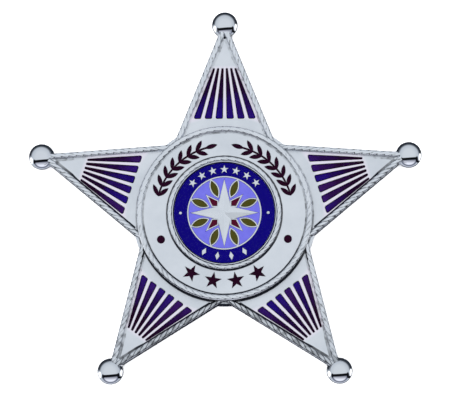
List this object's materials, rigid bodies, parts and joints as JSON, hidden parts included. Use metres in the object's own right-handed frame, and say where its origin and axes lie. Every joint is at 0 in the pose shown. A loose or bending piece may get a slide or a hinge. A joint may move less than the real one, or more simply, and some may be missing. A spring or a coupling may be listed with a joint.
{
  "type": "five-point star badge",
  "caption": "Ball-tipped five-point star badge in silver metal with rope borders, violet enamel fans, a round panel with an enamelled seal, and a pin on its back.",
  "frame": {"origin": "the star's centre on its flat back, where the badge lies against the cloth", "axes": "+X to the badge's right as it is read, +Y to the top point, +Z out of the face"},
  "size_m": [0.0764, 0.0728, 0.0071],
  "materials": {
    "star_metal": "bright plated metal, satin in the flat fields",
    "seal_metal": "bright plated metal",
    "pin_metal": "plain plated metal",
    "ray_enamel": "glossy fired enamel, violet running to dark maroon",
    "dark_enamel": "glossy fired enamel",
    "blue_enamel": "glossy fired enamel",
    "sky_enamel": "glossy fired enamel",
    "maroon_enamel": "glossy fired enamel",
    "olive_enamel": "glossy fired enamel"
  },
  "bodies": {
    "root": {"star_body": "star_metal", "ray_1_1": "ray_enamel", "ray_1_2": "ray_enamel", "ray_1_3": "ray_enamel", "ray_1_4": "ray_enamel", "ray_1_5": "ray_enamel", "ray_1_6": "ray_enamel", "ray_2_1": "ray_enamel", "ray_2_2": "ray_enamel", "ray_2_3": "ray_enamel", "ray_2_4": "ray_enamel", "ray_2_5": "ray_enamel", "ray_2_6": "ray_enamel", "ray_3_1": "ray_enamel", "ray_3_2": "ray_enamel", "ray_3_3": "ray_enamel", "ray_3_4": "ray_enamel", "ray_3_5": "ray_enamel", "ray_3_6": "ray_enamel", "ray_4_1": "ray_enamel", "ray_4_2": "ray_enamel", "ray_4_3": "ray_enamel", "ray_4_4": "ray_enamel", "ray_4_5": "ray_enamel", "ray_4_6": "ray_enamel", "ray_5_1": "ray_enamel", "ray_5_2": "ray_enamel", "ray_5_3": "ray_enamel", "ray_5_4": "ray_enamel", "ray_5_5": "ray_enamel", "ray_5_6": "ray_enamel", "garland_left": "dark_enamel", "garland_right": "dark_enamel", "low_star_1": "dark_enamel", "low_star_2": "dark_enamel", "low_star_3": "dark_enamel", "low_star_4": "dark_enamel", "side_dot_left": "dark_enamel", "side_dot_right": "dark_enamel", "seal_disc": "seal_metal", "blue_ring": "blue_enamel", "rose_ground": "sky_enamel", "short_points": "maroon_enamel", "small_leaves": "olive_enamel", "pin_back": "pin_metal"}
  },
  "joints": []
}
